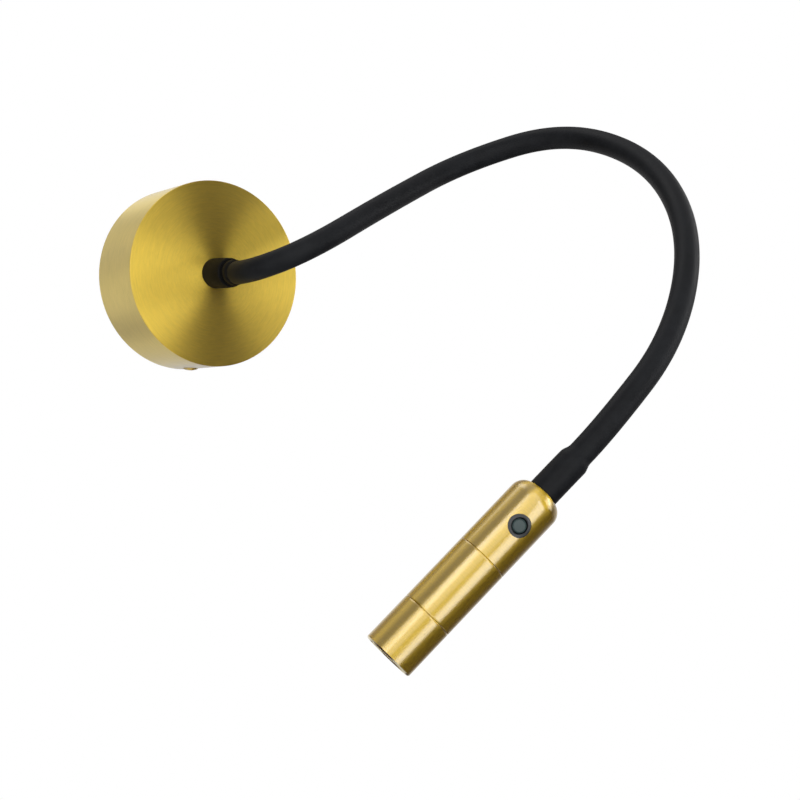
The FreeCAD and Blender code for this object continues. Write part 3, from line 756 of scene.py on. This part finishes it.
HEAD_REAR = Vector(ARM_POINTS[-1])
HEAD_AXIS = (HEAD_REAR - Vector(HEAD_AXIS_POINT)).normalized()
BUTTON_WAY = UP.cross(HEAD_AXIS).normalized()
HEAD = place(HEAD_REAR, HEAD_AXIS, BUTTON_WAY)
BUTTON = place(HEAD_REAR + HEAD_AXIS * BUTTON_PLACE, BUTTON_WAY, HEAD_AXIS)


def seam(joint, way):
    """One side of the thin dark groove at a joint, in the outline's order. Way is 1 in front, -1 behind."""
    side = [(joint + way * away, HEAD_RADIUS - depth) for away, depth in SEAM_POINTS]
    return side if way > 0 else side[::-1]


def rear_cap():
    outline = [(0, CAP_HOLE)]
    outline += fillet(CAP_ROUND, HEAD_RADIUS - CAP_ROUND, CAP_ROUND, 180, 90, steps=20)
    outline += seam(CAP_END, -1)
    outline += [(CAP_END, HEAD_BORE), (CAP_WALL, HEAD_BORE), (CAP_WALL, CAP_HOLE)]
    obj = lathe("head_rear_cap", outline, HEAD, sharp=45)
    radius = BEZEL_RADIUS + PLAY
    drill = [(DRILL_START, 0), (DRILL_START, radius), (DRILL_END, radius), (DRILL_END, 0)]
    cut(obj, lathe("hole", drill, BUTTON, sides=64))
    finish_piece(obj, brass_head, "head", "brushed_brass", "rear_cap")


def middle_barrel():
    rear, front = CAP_END - SPIGOT, MIDDLE_END + SPIGOT
    outline = [(rear, SPIGOT_BORE), (rear, SPIGOT_RADIUS), (CAP_END, SPIGOT_RADIUS)]
    outline += seam(CAP_END, 1) + seam(MIDDLE_END, -1)
    outline += [(MIDDLE_END, SPIGOT_RADIUS), (front, SPIGOT_RADIUS), (front, SPIGOT_BORE)]
    obj = lathe("head_middle_barrel", outline, HEAD, sharp=45)
    finish_piece(obj, brass_head, "head", "brushed_brass", "middle_barrel")


def front_barrel():
    front = HEAD_END - EDGE_CHAMFER
    outline = [(MIDDLE_END, HEAD_BORE)] + seam(MIDDLE_END, 1) + [(front, HEAD_RADIUS), (front, HEAD_BORE)]
    obj = lathe("head_front_barrel", outline, HEAD, sharp=45)
    finish_piece(obj, brass_head, "head", "brushed_brass", "front_barrel")


def front_edge():
    """Turned edge of the front barrel: polished, with a paler brass colour that is a painted highlight."""
    rear = HEAD_END - EDGE_CHAMFER
    outline = [(rear, HEAD_BORE), (rear, HEAD_RADIUS), (HEAD_END, HEAD_RADIUS - EDGE_CHAMFER)]
    outline += [(HEAD_END, HEAD_BORE + BORE_CHAMFER), (HEAD_END - BORE_CHAMFER, HEAD_BORE)]
    obj = lathe("head_front_edge", outline, HEAD, sharp=30)
    finish_piece(obj, edge_highlight_brass, "head", "brushed_brass", "front_barrel")


rose_cover()
rose_screws()
collar()
ferrule()
make_arm()
hose_root()
lead_root()
lead_tip()
rear_cap()
middle_barrel()
front_barrel()
front_edge()


# Camera, fitted to the photo together with the sizes. Its place is in mm

CAMERA_LENS, CAMERA_SENSOR = 75.88, 36.0
CAMERA_PLACE = (-334.5, -676.1, -75.4)
CAMERA_RIGHT, CAMERA_FORWARD = (0.8321, -0.5546, 0.0), (0.5544, 0.8318, 0.0291)


def camera():
    data = bpy.data.cameras.new("camera")
    data.lens, data.sensor_width = CAMERA_LENS, CAMERA_SENSOR
    data.clip_start, data.clip_end = 0.01, 50.0
    obj = add_object("camera", data)
    right, forward = Vector(CAMERA_RIGHT), Vector(CAMERA_FORWARD)
    obj.matrix_world = axes(right, right.cross(forward), -forward, Vector(CAMERA_PLACE) * MM)
    bpy.context.scene.camera = obj


# World: its brightness behind the lamp and above it, and for rough surfaces, and where the first two fade

BACK_LEVEL, TOP_LEVEL, SOFT_LEVEL = 0.83, 0.66, 0.16
BACK_SPAN, HEIGHT_SPAN, TOP_SPAN = (0.1, 0.85), (0.25, 0.6), (0.4, 0.9)
FRONT_COLOUR, WHITE = (0.017, 0.001, 0.0), (1.0, 1.0, 1.0)
BEHIND_X, BEHIND_Y = 0.554, 0.832


def world():
    """White behind the lamp, as the camera sees it, and dimmer on the camera's side, as in a studio."""
    w = bpy.data.worlds.new("studio")
    bpy.context.scene.world = w
    w.use_nodes = True
    w.node_tree.nodes.clear()
    n = Nodes("studio", w)

    def background(colour, strength):
        return n.call("ShaderNodeBackground", colour, strength)[0]

    x, y, z = n.split(n.add("ShaderNodeTexCoord").outputs["Generated"])
    away = n.math("ADD", n.math("MULTIPLY", x, BEHIND_X), n.math("MULTIPLY", y, BEHIND_Y))
    near_level = n.span(n.math("ABSOLUTE", z), *HEIGHT_SPAN, 1.0, 0.0)
    behind = n.math("MULTIPLY", n.span(away, *BACK_SPAN), near_level)
    above = n.span(z, *TOP_SPAN, 0.0, TOP_LEVEL)
    level = n.math("ADD", n.math("MULTIPLY", behind, BACK_LEVEL), above)
    mirrored = n.call("ShaderNodeAddShader", background(WHITE, level), background(FRONT_COLOUR, 1.0))[0]
    ray = n.add("ShaderNodeLightPath").outputs
    sharp = n.math("MAXIMUM", ray["Is Glossy Ray"], ray["Is Transmission Ray"])
    lit = n.call("ShaderNodeMixShader", sharp, background(WHITE, SOFT_LEVEL), mirrored)[0]
    seen = n.call("ShaderNodeMixShader", ray["Is Camera Ray"], lit, background(WHITE, 1.0))[0]
    n.call("ShaderNodeOutputWorld", seen)


# Floor

FLOOR_PLACE, FLOOR_SIZE = (0, -0.1, -1.2), 1.6
FADE_START, FADE_END = 0.45, 0.78


def floor():
    """Pale floor under the lamp that fades out towards its edge."""
    bpy.ops.mesh.primitive_plane_add(size=FLOOR_SIZE, location=FLOOR_PLACE)
    obj = bpy.context.active_object
    obj.name = "studio_floor"
    n = Nodes("pale_floor")
    speckle = n.noise(n.coords(), scale=30.0, detail=3.0)
    n.colour(n.mix(n.span(speckle, 0.3, 0.7), (0.80, 0.80, 0.79), (0.84, 0.84, 0.83)))
    n.rough(n.span(speckle, 0.3, 0.7, 0.6, 0.75))
    n.link(n.span(n.length(n.coords()), FADE_START, FADE_END, 1.0, 0.0), n.bsdf.inputs["Alpha"])
    obj.data.materials.append(n.mat)


# Lamps

STUDIO_CENTRE = Vector((0.03, -0.12, -0.05))
LAMP_DISTANCE = 1.4

# Name, azimuth from the front (plus is right), elevation, width, height, roll, brightness (1 is white)
SOFTBOXES = [
    ("key", -32.8, 25.5, 1.27, 2.43, 56.3, 1.25),
    ("narrow_key", -48.1, 27.1, 0.17, 0.72, -30.0, 2.95),
    ("strip", 0.0, -8.1, 0.51, 1.25, -14.0, 3.44),
    ("right_strip", 77.2, 24.0, 1.39, 0.38, -31.1, 2.92),
    ("low_left", -56.8, -21.3, 1.21, 2.00, 108.2, 1.23),
    ("right_fill", 48.8, 8.8, 0.66, 0.85, -1.9, 2.20),
    ("top_back", -158.0, 66.0, 0.8, 0.8, 0.0, 1.45),
    ("under_back", -170.0, -50.0, 1.1, 0.9, 0.0, 1.0),
]


def softbox(name, azimuth, elevation, width, height, roll, level):
    """Area lamp that faces the object. The camera doesn't see it."""
    a, e = math.radians(azimuth), math.radians(elevation)
    way = Vector((math.sin(a) * math.cos(e), -math.cos(a) * math.cos(e), math.sin(e)))
    side = UP.cross(way).normalized()
    turn = math.radians(-roll)
    across = side * math.cos(turn) + way.cross(side) * math.sin(turn)
    data = bpy.data.lights.new(name, "AREA")
    data.shape = "RECTANGLE"
    data.size, data.size_y = width, height
    data.energy = level * math.pi * width * height
    obj = add_object(name, data)
    obj.matrix_world = axes(across, way.cross(across), way, STUDIO_CENTRE + way * LAMP_DISTANCE)
    obj.visible_camera = False


camera()
world()
floor()
for row in SOFTBOXES:
    softbox(*row)
bpy.context.scene.view_settings.view_transform = "Standard"
